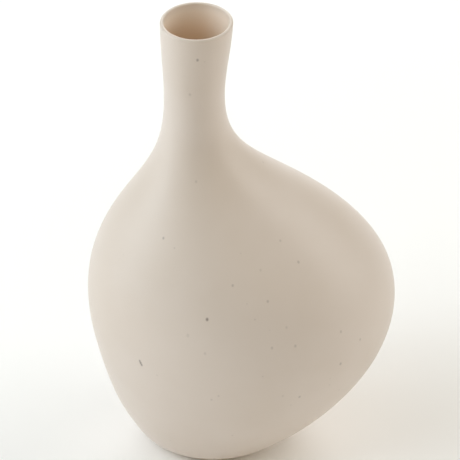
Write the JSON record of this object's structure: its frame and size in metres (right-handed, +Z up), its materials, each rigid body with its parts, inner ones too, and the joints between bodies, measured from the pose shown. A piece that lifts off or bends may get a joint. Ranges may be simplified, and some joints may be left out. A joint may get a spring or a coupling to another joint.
{
  "type": "vase",
  "caption": "Stoneware bottle vase with an off-centre slim neck rising from a broad flattened belly, cream matt glaze outside and tan liner glaze inside.",
  "frame": {"origin": "on the ground plane, under the middle of the vase's bounding box", "axes": "+Z up; the neck stands off towards -X; the vase is symmetric about the XZ plane; -Y is the front"},
  "size_m": [0.187, 0.1608, 0.3001],
  "materials": {
    "bare_stoneware": "unglazed buff stoneware, dry and slightly gritty",
    "cream_matt_glaze": "warm cream satin-matt glaze with sparse dark iron specks",
    "tan_liner_glaze": "warm tan satin liner glaze",
    "felt": "pressed wool felt, stuck on"
  },
  "bodies": {
    "root": {"stoneware_body": "bare_stoneware", "outer_glaze": "cream_matt_glaze", "inner_glaze": "tan_liner_glaze", "foot_pad_1": "felt", "foot_pad_2": "felt", "foot_pad_3": "felt", "foot_pad_4": "felt"}
  },
  "joints": []
}
